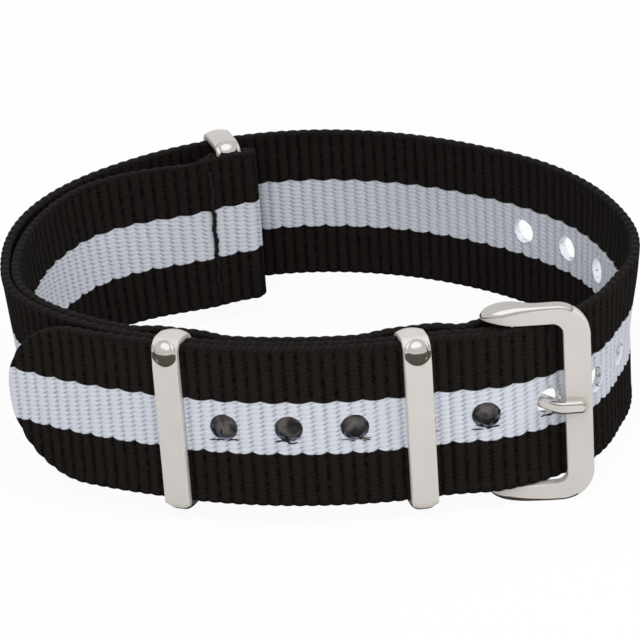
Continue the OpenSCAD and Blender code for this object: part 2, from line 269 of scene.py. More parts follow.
# Middle line of the long webbing, from the tab's end to the loose tip, and of the short one
HALF_T = STRAP_T / 2
LONG_LINE = np.concatenate([
    sweep(TAB_END_A, PIN_ANGLE - 1, lambda a: inner_face(a) - HALF_T),
    arc(PIN, PIN_R + PIN_FIT + HALF_T, PIN_ANGLE - 180, PIN_ANGLE - 360),
    sweep(PIN_ANGLE - 1, NEAR_A, lambda a: run_o(a) - HALF_T),
    sweep(NEAR_A - 0.5, SPAN_RIGHT_A - 360, lambda a: -HALF_T + 0 * a),
    sweep(SPAN_RIGHT_A - 0.5, TIP_A, lambda a: tail_face(a) - HALF_T)])
SHORT_LINE = np.concatenate([
    sweep(TAB_END_A - 0.03, LEAVE_ANGLE, lambda a: inner_face(a) - HALF_T),
    sweep(LEAVE_ANGLE - 0.5, STITCH_A + 1, lambda a: short_face(a) - HALF_T),
    sweep(STITCH_A + 0.5, LOOP_END_A + 1, lambda a: SHORT_END_O - HALF_T + 0 * a),
    arc(at(LOOP_END_A, LOOP_MID_O), LOOP_R + HALF_T, LOOP_END_A - 180, LOOP_END_A, 20),
    sweep(LOOP_END_A + 1, STITCH_A + 1.5, lambda a: loop_back_o(a) + HALF_T)])


class Line:
    """A line by its length, with smooth points and normals to its left."""

    def __init__(self, points):
        keep = np.r_[True, np.hypot(*np.diff(points, axis=0).T) > 0.02]
        p = points[keep]
        s = np.r_[0, np.cumsum(np.hypot(*np.diff(p, axis=0).T))]
        self.s = np.arange(0, s[-1], 0.1)
        q = np.stack([np.interp(self.s, s, p[:, k]) for k in (0, 1)], axis=-1)
        for _ in range(3):
            q[1:-1] = (q[:-2] + 2 * q[1:-1] + q[2:]) / 4
        d = np.gradient(q, axis=0)
        d /= np.hypot(*d.T)[:, None]
        self.p, self.n = q, np.stack([-d[:, 1], d[:, 0]], axis=-1)
        self.length = self.s[-1]

    def point(self, s, o):
        """Points at lengths s, moved by o toward the outer face."""
        p = [np.interp(s, self.s, self.p[:, k]) + o * np.interp(s, self.s, self.n[:, k]) for k in (0, 1)]
        return np.stack(p, axis=-1)

    def nearest(self, xy, after=0.0):
        """The length at which the line is nearest to a point, past a given length."""
        far = np.hypot(*(self.p - xy).T) + 1000 * (self.s < after)
        return self.s[int(np.argmin(far))]


LONG = Line(LONG_LINE)
SHORT = Line(SHORT_LINE)
# A length of the long line that is past its fold
RUN_S = 30
S_RIGHT = LONG.nearest(at(SPAN_RIGHT_A, -HALF_T), RUN_S)
S_LEFT = LONG.nearest(at(SPAN_LEFT_A, tail_face(SPAN_LEFT_A) - HALF_T), S_RIGHT)
S_SEAM = LONG.nearest(at(TIP_SEAM_A, tail_face(TIP_SEAM_A) - HALF_T), S_RIGHT)
S_HOLES = [LONG.nearest(at(a, tail_face(a) - HALF_T), RUN_S if a > SPAN_RIGHT_A else S_RIGHT - 1)
           for a in HOLE_A]

# Mesh of the webbing: its ribs, and the points that round its edges
RIB = 1.4
PER_RIB = 5
RIB_DEPTH = 0.2
EDGE_SCALLOP = 0.045
EDGE_ACROSS = np.array([0.95, 0.72, 0.0, -0.72, -0.95])
EDGE_IN = np.array([0.22, 0.08, 0.0, 0.08, 0.22])
EDGE = len(EDGE_IN)
TIP_FINE = 1.2


def scallop(s):
    """The selvage swells at each rib."""
    return (2 * np.abs(np.sin(np.pi * s / RIB)) - 1) * EDGE_SCALLOP


def mesh_object(name, verts, faces, uvs=None, materials=()):
    mesh = bpy.data.meshes.new(name)
    mesh.from_pydata([tuple(v) for v in verts], [], [tuple(f) for f in faces])
    if uvs is not None:
        layer = mesh.uv_layers.new(name="weave")
        index = np.empty(len(mesh.loops), dtype=np.int32)
        mesh.loops.foreach_get("vertex_index", index)
        layer.data.foreach_set("uv", np.asarray(uvs, dtype=np.float32)[index].ravel())
    mesh.polygons.foreach_set("use_smooth", [True] * len(mesh.polygons))
    mesh.update()
    obj = bpy.data.objects.new(name, mesh)
    bpy.context.scene.collection.objects.link(obj)
    for m in materials:
        mesh.materials.append(m)
    return obj


def z_columns(fine):
    """Heights of the mesh columns, close together round the row of holes."""
    side = np.linspace(0.3, MID_Z - 3.2, 12)
    middle = np.linspace(MID_Z - 2.4, MID_Z + 2.4, 7)
    if fine:
        middle = np.r_[MID_Z - 2.65, np.linspace(MID_Z - 2, MID_Z + 2, 17), MID_Z + 2.65]
    return np.concatenate([side, middle, STRAP_W - side[::-1]])


def cut_holes(grid_s, grid_z, holes):
    """The grid drawn to the holes' rims, its cells inside them, and where the rims are melted."""
    mid_s = (grid_s[:-1, :-1] + grid_s[1:, 1:]) / 2
    mid_z = (grid_z[:-1, :-1] + grid_z[1:, 1:]) / 2
    gone = np.zeros(mid_s.shape, dtype=bool)
    melt = np.zeros_like(grid_s)
    for h in holes:
        hole = np.hypot(mid_s - h, mid_z - MID_Z) < HOLE_R - 0.06
        gone |= hole
        corner = np.zeros(grid_s.shape, dtype=int)
        total = np.zeros(grid_s.shape, dtype=int)
        for di in (0, 1):
            for dj in (0, 1):
                view = (slice(di, di + hole.shape[0]), slice(dj, dj + hole.shape[1]))
                corner[view] += hole
                total[view] += 1
        rim = (corner > 0) & (corner < total)
        dx, dz = grid_s - h, grid_z - MID_Z
        r = np.hypot(dx, dz) + 1e-9
        grid_s = np.where(rim, h + dx / r * HOLE_R, grid_s)
        grid_z = np.where(rim, MID_Z + dz / r * HOLE_R, grid_z)
        melt = np.maximum(melt, 1 - ease(r, HOLE_R + 0.1, HOLE_R + 0.6))
    return grid_s, grid_z, gone, melt


def webbing_faces(gone, rows, n):
    """Faces of both sides and both edges, the walls of the holes and the two ends."""
    m = 2 * (n + EDGE)
    faces = []
    for i in range(rows - 1):
        for j in range(m):
            k = (j + 1) % m
            if j < n - 1 and gone[i, j]:
                continue
            if n + EDGE <= j < 2 * n + EDGE - 1 and gone[i, 2 * n + EDGE - 2 - j]:
                continue
            faces.append((i * m + j, i * m + k, (i + 1) * m + k, (i + 1) * m + j))

    def both(i, j):
        """The same grid point on the outer and the inner side."""
        return i * m + j, i * m + 2 * n + EDGE - 1 - j

    for i, j in np.argwhere(gone).tolist():
        a, b, c, d = (i, j), (i, j + 1), (i + 1, j + 1), (i + 1, j)
        for open_side, p, q in ((gone[i - 1, j], a, b), (gone[i, j + 1], b, c),
                                (gone[i + 1, j], c, d), (gone[i, j - 1], d, a)):
            if not open_side:
                faces.append(both(*p) + both(*q)[::-1])
    faces.append(tuple(range(m - 1, -1, -1)))
    faces.append(tuple(range((rows - 1) * m, rows * m)))
    return faces


def webbing(name, line, s0, s1, holes=(), tip=False, apart=0.0, swell=1.0):
    """One stretch of ribbed webbing between two lengths of a line."""
    ds = RIB / PER_RIB
    inner = np.arange(math.ceil(s0 / ds + 0.2), math.floor(s1 / ds - 0.2) + 1) * ds
    s = np.concatenate([[s0], inner, [s1]])
    if tip:
        last = s1 - TIP_FINE + TIP_FINE * np.sin(np.linspace(0.05, 1, 9) * np.pi / 2)
        s = np.concatenate([s[s < s1 - TIP_FINE], last])
    cols = z_columns(bool(holes))
    grid_s, grid_z, gone, melt = cut_holes(*np.meshgrid(s, cols, indexing="ij"), holes)
    width = np.ones(len(s))
    if tip:
        round_at = s1 - MID_Z
        width = np.sqrt(np.clip(1 - (np.maximum(s - round_at, 0) / (MID_Z + 0.02)) ** 2, 0, 1))
    grid_z = MID_Z + (grid_z - MID_Z) * width[:, None]
    rib = np.abs(np.sin(np.pi * grid_s / RIB)) ** 1.1
    selvage = ease(np.abs(grid_z - MID_Z), MID_Z - 1.3, MID_Z - 0.6)
    half = HALF_T - RIB_DEPTH * (1 - rib) * (1 - melt) * (1 - 0.65 * selvage) - 0.05 * melt
    half *= 1 + swell * selvage * (0.1 + 0.4 * scallop(grid_s))
    rows, uv_rows = [], []
    for i, edge in enumerate(scallop(s) - 0.02):
        high = MID_Z + (MID_Z + edge) * width[i] - EDGE_IN * width[i]
        low = MID_Z - (MID_Z + edge) * width[i] + EDGE_IN * width[i]
        side = half[i, -1] * EDGE_ACROSS
        here = np.full(EDGE, s[i])
        ss = np.concatenate([grid_s[i], here, grid_s[i, ::-1], here])
        zz = np.concatenate([grid_z[i], high, grid_z[i, ::-1], low])
        oo = np.concatenate([half[i], side, -half[i, ::-1], side[::-1]])
        rows.append(np.column_stack([line.point(ss, oo), zz]))
        uv_rows.append(np.column_stack([ss, zz]))
    verts = placed(lean(np.concatenate(rows), apart))
    faces = webbing_faces(gone, len(s), len(cols))
    return mesh_object(name, verts, faces, np.concatenate(uv_rows), [WEBBING])


# Materials
class Graph:
    """The nodes of a material or of the world, with a short name for each sum."""

    def __init__(self, tree):
        self.tree = tree

    def node(self, kind):
        return self.tree.nodes.new("ShaderNode" + kind)

    def put(self, v, socket):
        """Give a socket a colour, a number or another socket's value."""
        if isinstance(v, tuple):
            socket.default_value = (*v, 1)
        elif isinstance(v, (int, float)):
            socket.default_value = v
        else:
            self.tree.links.new(v, socket)

    def math(self, operation, *terms, clamp=False):
        node = self.node("Math")
        node.operation = operation
        node.use_clamp = clamp
        for v, socket in zip(terms, node.inputs):
            self.put(v, socket)
        return node.outputs[0]

    def add(self, a, b):
        return self.math("ADD", a, b)

    def sub(self, a, b, clamp=False):
        return self.math("SUBTRACT", a, b, clamp=clamp)

    def mul(self, a, b, clamp=False):
        return self.math("MULTIPLY", a, b, clamp=clamp)

    def scaled(self, a, by, plus, clamp=False):
        return self.math("MULTIPLY_ADD", a, by, plus, clamp=clamp)

    def step(self, x, lo, hi):
        """Smooth step from 0 at lo to 1 at hi."""
        node = self.node("MapRange")
        node.interpolation_type = "SMOOTHSTEP"
        for v, socket in zip((x, lo, hi), node.inputs):
            self.put(v, socket)
        return node.outputs[0]

    def mix(self, factor, a, b):
        """Colour a where the factor is 0 and b where it is 1."""
        node = self.node("Mix")
        node.data_type = "RGBA"
        self.put(factor, node.inputs[0])
        for v, socket in zip((a, b), [s for s in node.inputs if s.type == "RGBA"]):
            self.put(v, socket)
        return [s for s in node.outputs if s.type == "RGBA"][0]

    def noise(self, vector, scale, detail):
        node = self.node("TexNoise")
        self.put(scale, node.inputs["Scale"])
        self.put(detail, node.inputs["Detail"])
        self.put(vector, node.inputs["Vector"])
        return node.outputs["Fac"]

    def place(self):
        """The point in the object's own coordinates, in metres."""
        return self.node("TexCoord").outputs["Object"]


class Material(Graph):
    """A new material and its shader."""

    def __init__(self, name):
        self.material = bpy.data.materials.new(name)
        self.material.use_nodes = True
        super().__init__(self.material.node_tree)
        self.shader = self.tree.nodes["Principled BSDF"]

    def set(self, name, v):
        self.put(v, self.shader.inputs[name])

    def weave(self):
        """The piece's UV map, and its two coordinates."""
        uv = self.node("UVMap")
        uv.uv_map = "weave"
        split = self.node("SeparateXYZ")
        self.put(uv.outputs[0], split.inputs[0])
        return uv.outputs[0], split.outputs[0], split.outputs[1]

    def relief(self, height, strength, depth):
        node = self.node("Bump")
        self.put(strength, node.inputs["Strength"])
        self.put(depth * MM, node.inputs["Distance"])
        self.put(height, node.inputs["Height"])
        self.set("Normal", node.outputs[0])


def linear(*rgb):
    """A colour as the shader takes it, from the one seen on the screen."""
    return tuple(c / 255 / 12.92 if c / 255 <= 0.04045 else ((c / 255 + 0.055) / 1.055) ** 2.4 for c in rgb)


# Yarns of the webbing: width of one, swing of the valleys and bulge of the stripe's edges
YARN = 0.57
ZIGZAG = 0.14
SCALLOP = 0.14
SELVAGE_TURN = 0.7
# The white valley colour is painted shade
WHITE_VALLEY_SHADE, WHITE_YARN = linear(112, 119, 142), linear(203, 206, 214)
WHITE_PATCH = linear(192, 196, 206)
# The black valley colour is painted shade
BLACK_VALLEY_SHADE, BLACK_YARN = linear(2, 2, 2), linear(24, 20, 18)
# The fibre colour is painted sheen on the black ribs; the edge colour is painted shade in the selvage's
# grooves
BLACK_FIBRE_SHEEN, BLACK_SELVAGE_SHADE = linear(40, 34, 31), linear(8, 7, 7)


def webbing_material():
    """Black and white weave, by the length along the strap and the height, with painted shade in its valleys.
    """
    m = Material("webbing")
    uv, s, z = m.weave()
    fibre = m.noise(uv, 9.0, 3.0)
    patch = m.noise(uv, 0.35, 2.0)
    spots = m.noise(uv, 1.3, 2.0)
    # The white stripe's edges bulge over every second rib
    half_wave = m.math("SINE", m.mul(s, math.pi / RIB / 2))
    bulge = m.scaled(m.math("ABSOLUTE", half_wave), 2 * SCALLOP, -SCALLOP)
    off = m.math("ABSOLUTE", m.sub(z, MID_Z))
    border = m.add(m.sub(off, bulge), m.mul(m.sub(fibre, 0.5), 0.16))
    black = m.step(border, STRIPE_W / 2 - 0.06, STRIPE_W / 2 + 0.06)
    edge = m.step(off, MID_Z - 0.8, MID_Z - 0.3)
    # Yarns float over each rib, shifted by half a yarn on every other rib, so
    # the valleys between ribs run in a zigzag
    cell = m.math("COSINE", m.mul(z, 2 * math.pi / YARN))
    swing = m.mul(cell, m.math("COSINE", m.mul(s, math.pi / RIB)))
    swing = m.mul(swing, m.scaled(black, 0.3 * ZIGZAG, -ZIGZAG))
    wave = m.math("SINE", m.mul(m.add(s, swing), math.pi / RIB))
    crest = m.math("ABSOLUTE", wave)
    yarn = m.scaled(m.mul(m.math("SIGN", wave), cell), -0.5, 0.5)
    # Painted shade darkens the white field's valleys, most where the yarns dive, and faintly between the
    # yarns
    deep = m.step(crest, 0.0, 0.7)
    slant = m.mul(m.math("SINE", m.mul(z, 2 * math.pi / YARN)), m.math("COSINE", m.mul(s, math.pi / RIB)))
    broken = m.scaled(slant, 0.34, m.scaled(spots, 0.9, -0.04))
    dash = m.mul(m.sub(1.0, deep), broken, clamp=True)
    shade = m.sub(1.0, m.add(dash, m.mul(m.sub(1.0, yarn), 0.12)), clamp=True)
    white = m.mix(shade, WHITE_VALLEY_SHADE, WHITE_YARN)
    white = m.mix(m.mul(patch, 0.3), white, WHITE_PATCH)
    # The black field's valleys get painted shade, left out where its ribs touch, and its selvage is a row of
    # twisted threads
    turns = m.add(m.mul(s, 2 * math.pi / SELVAGE_TURN), m.mul(z, 9.0))
    twist = m.scaled(m.math("SINE", turns), 0.5, 0.5)
    uneven = m.scaled(m.step(spots, 0.3, 0.7), 0.75, 0.3, clamp=True)
    wide = m.sub(1.0, m.mul(m.sub(1.0, m.step(crest, 0.15, 0.8)), uneven))
    filled = m.scaled(m.sub(1.0, wide), m.mul(edge, 0.6), wide)
    dark = m.mix(m.mul(filled, m.scaled(yarn, 0.14, 0.86)), BLACK_VALLEY_SHADE, BLACK_YARN)
    # Lighter fibres only on the ribs: random tone, and painted sheen on the rib crests
    dark = m.mix(m.mul(m.mul(fibre, filled), 0.35), dark, BLACK_FIBRE_SHEEN)
    # Painted shade in the grooves between the selvage's twists
    dark = m.mix(m.mul(m.sub(1.0, twist), m.mul(edge, 0.7)), dark, BLACK_SELVAGE_SHADE)
    m.set("Base Color", m.mix(black, white, dark))
    m.set("Roughness", m.scaled(fibre, 0.25, 0.55))
    m.set("Sheen Weight", 0.0)
    m.set("Specular IOR Level", 0.12)
    dent = m.mul(m.sub(1.0, yarn), m.scaled(black, -0.22, 0.36))
    height = m.mul(deep, m.sub(1.0, dent))
    height = m.scaled(m.mul(twist, edge), 0.35, height)
    m.relief(m.scaled(fibre, 0.25, height), 0.5, 0.2)
    return m.material


POLISHED_ROUGH = 0.07
# A dark line of painted reflection where polished steel meets satin: its share here, its colour below
REFLECTION_LINE_SHARE = 0.45
SATIN_STEEL = (linear(205, 200, 195), linear(214, 209, 204))
POLISHED_STEEL = (linear(232, 228, 222), linear(242, 239, 235))
PAINTED_REFLECTION_STEEL = linear(70, 66, 62)


def metal_material(name, satin_rough):
    """Steel that is satin where the UV's v is over 1 and polished below, with a dark line of painted
    reflection between them.
    """
    m = Material(name)
    v = m.weave()[2]
    place = m.place()
    fine = m.noise(place, 2600.0, 4.0)
    broad = m.noise(place, 260.0, 2.0)
    satin = m.step(v, 0.94, 1.06)
    # Painted reflection: the polished colour darkens towards the satin
    shiny = m.mix(m.mul(m.step(v, 0.25, 0.85), REFLECTION_LINE_SHARE), m.mix(broad, *POLISHED_STEEL), PAINTED_REFLECTION_STEEL)
    m.set("Base Color", m.mix(satin, shiny, m.mix(broad, *SATIN_STEEL)))
    rough = m.scaled(satin, satin_rough - POLISHED_ROUGH, POLISHED_ROUGH)
    m.set("Roughness", m.scaled(broad, 0.06, rough))
    m.set("Metallic", m.scaled(satin, -0.86, 1.0))
    m.relief(m.mul(fine, satin), 0.12, 0.02)
    return m.material


def thread_material():
    m = Material("thread")
    fuzz = m.noise(m.place(), 4000.0, 3.0)
    m.set("Base Color", m.mix(fuzz, linear(6, 5, 5), linear(26, 22, 21)))
    m.set("Roughness", 0.75)
    m.relief(fuzz, 0.6, 0.05)
    return m.material


def grey_material(name, low, high, lo, hi, scale=1500.0):
    """Matt surface of two greys, mixed by fine noise."""
    m = Material(name)
    grain = m.noise(m.place(), scale, 3.0)
    m.set("Base Color", m.mix(m.step(grain, lo, hi), low, high))
    m.set("Roughness", 0.8)
    m.set("Specular IOR Level", 0.1)
    m.relief(grain, 0.5, 0.06)
    return m.material


def pin_material():
    m = Material("pin_steel")
    smudge = m.noise(m.place(), 900.0, 3.0)
    m.set("Base Color", m.mix(smudge, linear(200, 196, 190), linear(226, 222, 216)))
    m.set("Roughness", m.scaled(smudge, 0.15, 0.12))
    m.set("Metallic", 1.0)
    return m.material


WEBBING = webbing_material()
STEEL = metal_material("keeper_steel", 0.45)
FRAME_STEEL = metal_material("buckle_steel", 0.42)
PIN_STEEL = pin_material()
THREAD = thread_material()
# Rim of the tail's holes: dark of melt, and darker still as painted shade
RIM = grey_material("melted_rim_painted_shade", linear(34, 32, 36), linear(122, 126, 142), 0.4, 0.62)
PALE_RIM = grey_material("pale_rim", linear(100, 104, 120), linear(232, 235, 242), 0.3, 0.44)
# Painted shade for the inside of the tail's holes
SHADE = grey_material("hole_shade", linear(44, 42, 43), linear(108, 104, 102), 0.35, 0.65, 700.0)

# Webbing: the pieces that the solids split it into. The span through the buckle is
# split once more, beside the tongue's hole
S_TONGUE = S_HOLES[HOLES_FRONT]
S_SPLIT = S_TONGUE - 2.2
TIP_BEND = 6


def holes_between(s0, s1):
    return [h for h in S_HOLES if s0 < h < s1]


LOOP_HOLES = holes_between(0, S_RIGHT)
RIGHT_HOLES = holes_between(S_RIGHT, S_SPLIT)
LEFT_HOLES = holes_between(S_SPLIT, S_LEFT)
TAIL_HOLES = holes_between(S_LEFT, S_SEAM)
TIP_HOLES = holes_between(S_SEAM, LONG.length)


def spot(s):
    """A point at a length of the long line, in the frame and in metres."""
    return tuple(placed([*LONG.point(s, 0.0), MID_Z]))


def with_span(piece, left):
    """Bake a piece's place into its mesh, left or right of the tongue's hole."""
    if left:
        spot(S_LEFT - 1)
        spot(S_TONGUE + 2)
        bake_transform(piece)
    else:
        spot(S_SPLIT)
        spot(S_RIGHT + 1)
        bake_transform(piece)


def raise_wall(obj, place, rise, radius):
    """Lift the top edge of the end loop's wall that hides the ring's bar."""
    centre = placed([*place, 0.0])[:2]
    inward = -centre / np.linalg.norm(centre)
    for vertex in obj.data.vertices:
        off = (np.array(vertex.co[:2]) - centre) / MM
        near = ease(off @ inward, 0.1, 0.8) * bump(np.hypot(*off), 0, radius)
        vertex.co.z += rise * near * vertex.co.z / STRAP_W


long_strap = webbing("long_strap_webbing", LONG, 0, S_RIGHT, LOOP_HOLES, apart=0.8)
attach(long_strap, "strap")
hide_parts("long_strap")

span_right = webbing("strap_span_right", LONG, S_RIGHT, S_SPLIT, RIGHT_HOLES)
with_span(span_right, False)
span_left = webbing("strap_span_left", LONG, S_SPLIT, S_LEFT, LEFT_HOLES)
with_span(span_left, True)
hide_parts("strap_buckle_span")

strap_tail = webbing("strap_tail_webbing", LONG, S_LEFT, S_SEAM, TAIL_HOLES)
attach(strap_tail, "strap")
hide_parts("strap_tail")

strap_tip = webbing("strap_tip_webbing", LONG, S_SEAM, LONG.length, TIP_HOLES, tip=True)
spot(S_SEAM)
spot(S_SEAM + TIP_BEND)
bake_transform(strap_tip)
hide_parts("strap_tip")

short_strap = webbing("short_strap_webbing", SHORT, 0, SHORT.length, swell=0.0)
raise_wall(short_strap, at(RING_ANGLE, LOOP_MID_O), rise=0.5, radius=9)
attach(short_strap, "strap")
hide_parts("short_strap")


# Rims of the holes, and painted shade inside them
def by_hole(h, r, t, o):
    """Point about a hole's axis, in the plan's frame."""
    return (*LONG.point(h + r * math.cos(t), o), MID_Z + r * math.sin(t))


# Section of a rim: into the webbing from the hole's wall, and across as a share of its thickness
RIM_SECTION = [(0.05, 0.44), (-0.02, 0.48), (-0.06, 0.4), (-0.06, -0.4), (-0.02, -0.48), (0.05, -0.44)]


def hole_rims(name, holes, seed, material):
    """Linings where the holes were melted through the webbing."""
    rng = np.random.default_rng(seed)
    verts, faces = [], []
    n, m = 40, len(RIM_SECTION)
    for h in holes:
        base = len(verts)
        wob = rng.uniform(0, 2 * math.pi, 3)
        for k in range(n):
            t = 2 * math.pi * k / n
            swell = 1 + 0.35 * math.sin(3 * t + wob[0]) + 0.25 * math.sin(7 * t + wob[1])
            for dr, o in RIM_SECTION:
                verts.append(by_hole(h, HOLE_R + (dr * swell if dr > 0 else dr), t, o * STRAP_T))
            a, b = base + k * m, base + (k + 1) % n * m
            faces += [(a + j, a + (j + 1) % m, b + (j + 1) % m, b + j) for j in range(m)]
    obj = mesh_object(name, placed(lean(verts)), faces, materials=[material])
    return obj


def painted_shade_discs(name, holes):
    """Dark discs of painted shade, laid in the tail's holes over the layer beneath."""
    verts, faces = [], []
    n = 32
    for h in holes:
        base = len(verts)
        for r, up in ((0.0, 0.1), (0.6 * HOLE_R, 0.1), (0.97 * HOLE_R, 0.08)):
            verts += [by_hole(h, r, 2 * math.pi * k / n, up - HALF_T) for k in range(n)]
        for j in range(2):
            for k in range(n):
                a, b = base + j * n + k, base + j * n + (k + 1) % n
                faces.append((a, a + n, b + n, b))
    obj = mesh_object(name, placed(verts), faces, materials=[SHADE])
    return obj


DARK_HOLES = [h for h in LEFT_HOLES if h > S_TONGUE + 1]
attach(hole_rims("rims_loop", LOOP_HOLES, 1, PALE_RIM), "strap")
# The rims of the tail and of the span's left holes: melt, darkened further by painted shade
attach(hole_rims("rims_tail", TAIL_HOLES, 2, RIM), "strap")
with_span(hole_rims("rims_span_left", DARK_HOLES, 3, RIM), True)
with_span(hole_rims("rim_tongue", [S_TONGUE], 5, PALE_RIM), True)
with_span(hole_rims("rims_span_right", RIGHT_HOLES, 4, PALE_RIM), False)
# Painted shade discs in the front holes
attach(painted_shade_discs("hole_shade_tail", TAIL_HOLES), "strap")
with_span(painted_shade_discs("hole_shade_span", DARK_HOLES), True)


# Metal
def turned(points, centre, degrees):
    """Points of a local plan, turned and moved to the loop's plan."""
    p = np.array(points, dtype=float)
    t = math.radians(degrees)
    x = centre[0] + p[..., 0] * math.cos(t) - p[..., 1] * math.sin(t)
    y = centre[1] + p[..., 0] * math.sin(t) + p[..., 1] * math.cos(t)
    return np.stack([x, y, p[..., 2]], axis=-1)


def on_loop(points, a, o=0.0):
    """Local x runs along the loop, y inward and z up."""
    return turned(points, at(a, o), a - 270)


def on_pin(points):
    """Local x runs from the pin to the bar, y inward and z up from the middle of the webbing."""
    return turned(points, PIN, PIN_ANGLE - 270 - BUCKLE_LIFT) + np.array([0, 0, MID_Z])


def circle(t, r=1.0):
    return r * math.cos(math.radians(t)), r * math.sin(math.radians(t))


def loft(name, rings, uvs, closed, material):
    """Skin over rings of points, with ends filled unless it is closed."""
    n, m = rings.shape[:2]
    faces = []
    for i in range(n if closed else n - 1):
        a, b = i * m, (i + 1) % n * m
        faces += [(a + j, a + (j + 1) % m, b + (j + 1) % m, b + j) for j in range(m)]
    if not closed:
        faces.append(tuple(range(m - 1, -1, -1)))
        faces.append(tuple(range((n - 1) * m, n * m)))
    return mesh_object(name, placed(rings.reshape(-1, 3)), faces, uvs.reshape(-1, 2), [material])


LONG_SIDE = 4
CORNER_STEPS = 25


def keeper_path(y0, y1):
    """Outline of a keeper with its outward directions, and the place of each corner in it."""
    z0 = -SIDE_GAP - KEEPER_T
    z1 = STRAP_W - z0
    r = KEEPER_R
    path, corners = [], []
    for cy, cz, a0 in ((y1 - r, z1 - r, 0), (y0 + r, z1 - r, 90),
                       (y0 + r, z0 + r, 180), (y1 - r, z0 + r, 270)):
        for t in np.linspace(a0, a0 + 90, CORNER_STEPS):
            c, s = circle(t)
            path.append((cy + r * c, cz + r * s, c, s))
        corners.append(len(path) - 1 - CORNER_STEPS // 2)
    dense, marks = [], []
    for k, p in enumerate(path):
        if k in corners:
            marks.append(len(dense))
        q = path[(k + 1) % len(path)]
        gap = math.hypot(q[0] - p[0], q[1] - p[1])
        n = max(1, int(gap / 0.12)) if gap < LONG_SIDE else 36
        for f in [i / n for i in range(n)]:
            if gap >= LONG_SIDE:
                f -= 0.93 * math.sin(2 * math.pi * f) / (2 * math.pi)
            dense.append([p[j] + (q[j] - p[j]) * f for j in range(4)])
    return np.array(dense), marks


# The keeper's bead, half its width, half its length along the ring and its height,
# and the polished patch round it. The crown is the slight arch of the other top corner
BEAD_ACROSS, BEAD_ALONG, BEAD_H = 1.12, 1.45, 0.5
PATCH_ACROSS, PATCH_ALONG, PATCH_END = 1.55, 1.6, 1.9
CROWN_H, CROWN_END = 0.34, 2.0
FOOT_ROUND = 0.5


def keeper(name, a, y0, y1, skew, rise, drop, beaded, shift):
    """Ring of satin metal with one polished bead, on a top corner."""
    z1 = STRAP_W + SIDE_GAP + KEEPER_T
    path, corners = keeper_path(y0, y1)
    step = np.hypot(*(np.roll(path[:, :2], -1, axis=0) - path[:, :2]).T)
    v = np.r_[0, np.cumsum(step)[:-1]]
    total = step.sum()
    from_bead, from_crown = [np.abs((v - v[corners[k]] - move + total / 2) % total - total / 2)
                             for k, move in ((beaded, shift), (1 - beaded, 0.0))]
    us = np.linspace(-KEEPER_W / 2 + 0.1, KEEPER_W / 2 - 0.1, 29)
    inner_u = np.linspace(KEEPER_W / 2 - 0.1, -KEEPER_W / 2 + 0.1, 5)
    rings, uvs = [], []
    for (y, z, ny, nz), w, w2 in zip(path, from_bead, from_crown):
        ball = np.hypot(us / BEAD_ACROSS, w / BEAD_ALONG)
        dome = BEAD_H * np.sqrt(np.clip(1 - ball ** 2, 0, 1)) - 0.08 * (1 - ease(w, 0.9, PATCH_END))
        arch = CROWN_H * (1 - ease(w2, 0.3, CROWN_END))
        dome = dome + arch * (1 - (us / (KEEPER_W / 2)) ** 2) - 0.3 * arch
        dome = dome - FOOT_ROUND * ease(-nz, 0.1, 0.8) * np.abs(us / (KEEPER_W / 2)) ** 4
        slim = 1 - min(0.1, 0.4 * (1 - math.sqrt(1 - np.clip(-nz, 0, 1) ** 2)))
        outer = np.stack([us, y + ny * dome, z + nz * dome], axis=-1)
        low = float(dome[0])
        inner = np.stack([inner_u, y - ny * KEEPER_T + 0 * inner_u, z - nz * KEEPER_T + 0 * inner_u], axis=-1)
        side = [(x, y - ny * depth, z - nz * depth) for x, depth in (
            (KEEPER_W / 2 - 0.03, 0.03 - low), (KEEPER_W / 2, 0.1 - low), (KEEPER_W / 2, 0.72))]
        back = [(-x, *rest) for x, *rest in side[::-1]]
        ring = np.concatenate([outer, side, inner, back])
        ring[:, 0] = slim * ring[:, 0] + skew * (ring[:, 1] - y0)
        ring[:, 2] += rise * (ring[:, 1] - y0) / (y1 - y0) * ease(z, MID_Z, z1) - drop
        clear = np.hypot(us / PATCH_ACROSS, w / PATCH_ALONG) - 1
        under = 2 * (1 - ease(-nz, 0.5, 0.75))
        # Polished on the patch, satin off it; the finish between them draws the painted dark reflection line
        face = np.minimum(1 + np.clip(6 * clear, -1, 1), under)
        rim = min(under, 2.0 if w > PATCH_END else 1.2)
        finish = np.concatenate([face, [rim] * 3, 2 + 0 * inner_u, [rim] * 3])
        rings.append(ring)
        uvs.append(np.column_stack([ring[:, 0], finish]))
    return loft(name, on_loop(np.array(rings), a), np.array(uvs), True, STEEL)


# Each keeper's place, its skew, rise and drop, which top corner has the bead, and the bead's shift
KEEPER_OUT = TAIL_O + RING_GAP + KEEPER_T
KEEPER_IN = STRAP_T + RING_GAP + KEEPER_T
BACK_OUT = RING_GAP + KEEPER_T
for name, node, body, a, y0, y1, looks in (
        ("keeper_near_ring", "keeper_near", "near_ring", along(NEAR_A, -0.28, TAIL_O),
         -KEEPER_OUT, KEEPER_IN, (-0.13, 0.0, 0.4, 1, 1.1)),
        ("keeper_far_ring", "keeper_far", "far_ring", FAR_A,
         -KEEPER_OUT, KEEPER_IN, (0.07, 0.0, 0.3, 1, 1.1)),
        ("keeper_back_ring", "keeper_end_ring", "end_ring", RING_ANGLE,
         -BACK_OUT, END_RING_D - BACK_OUT, (0.0, 0.35, 0.0, 0, 0.1))):
    ring = keeper(name, a, y0, y1, *looks)
    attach(ring, body)
    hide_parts(node)


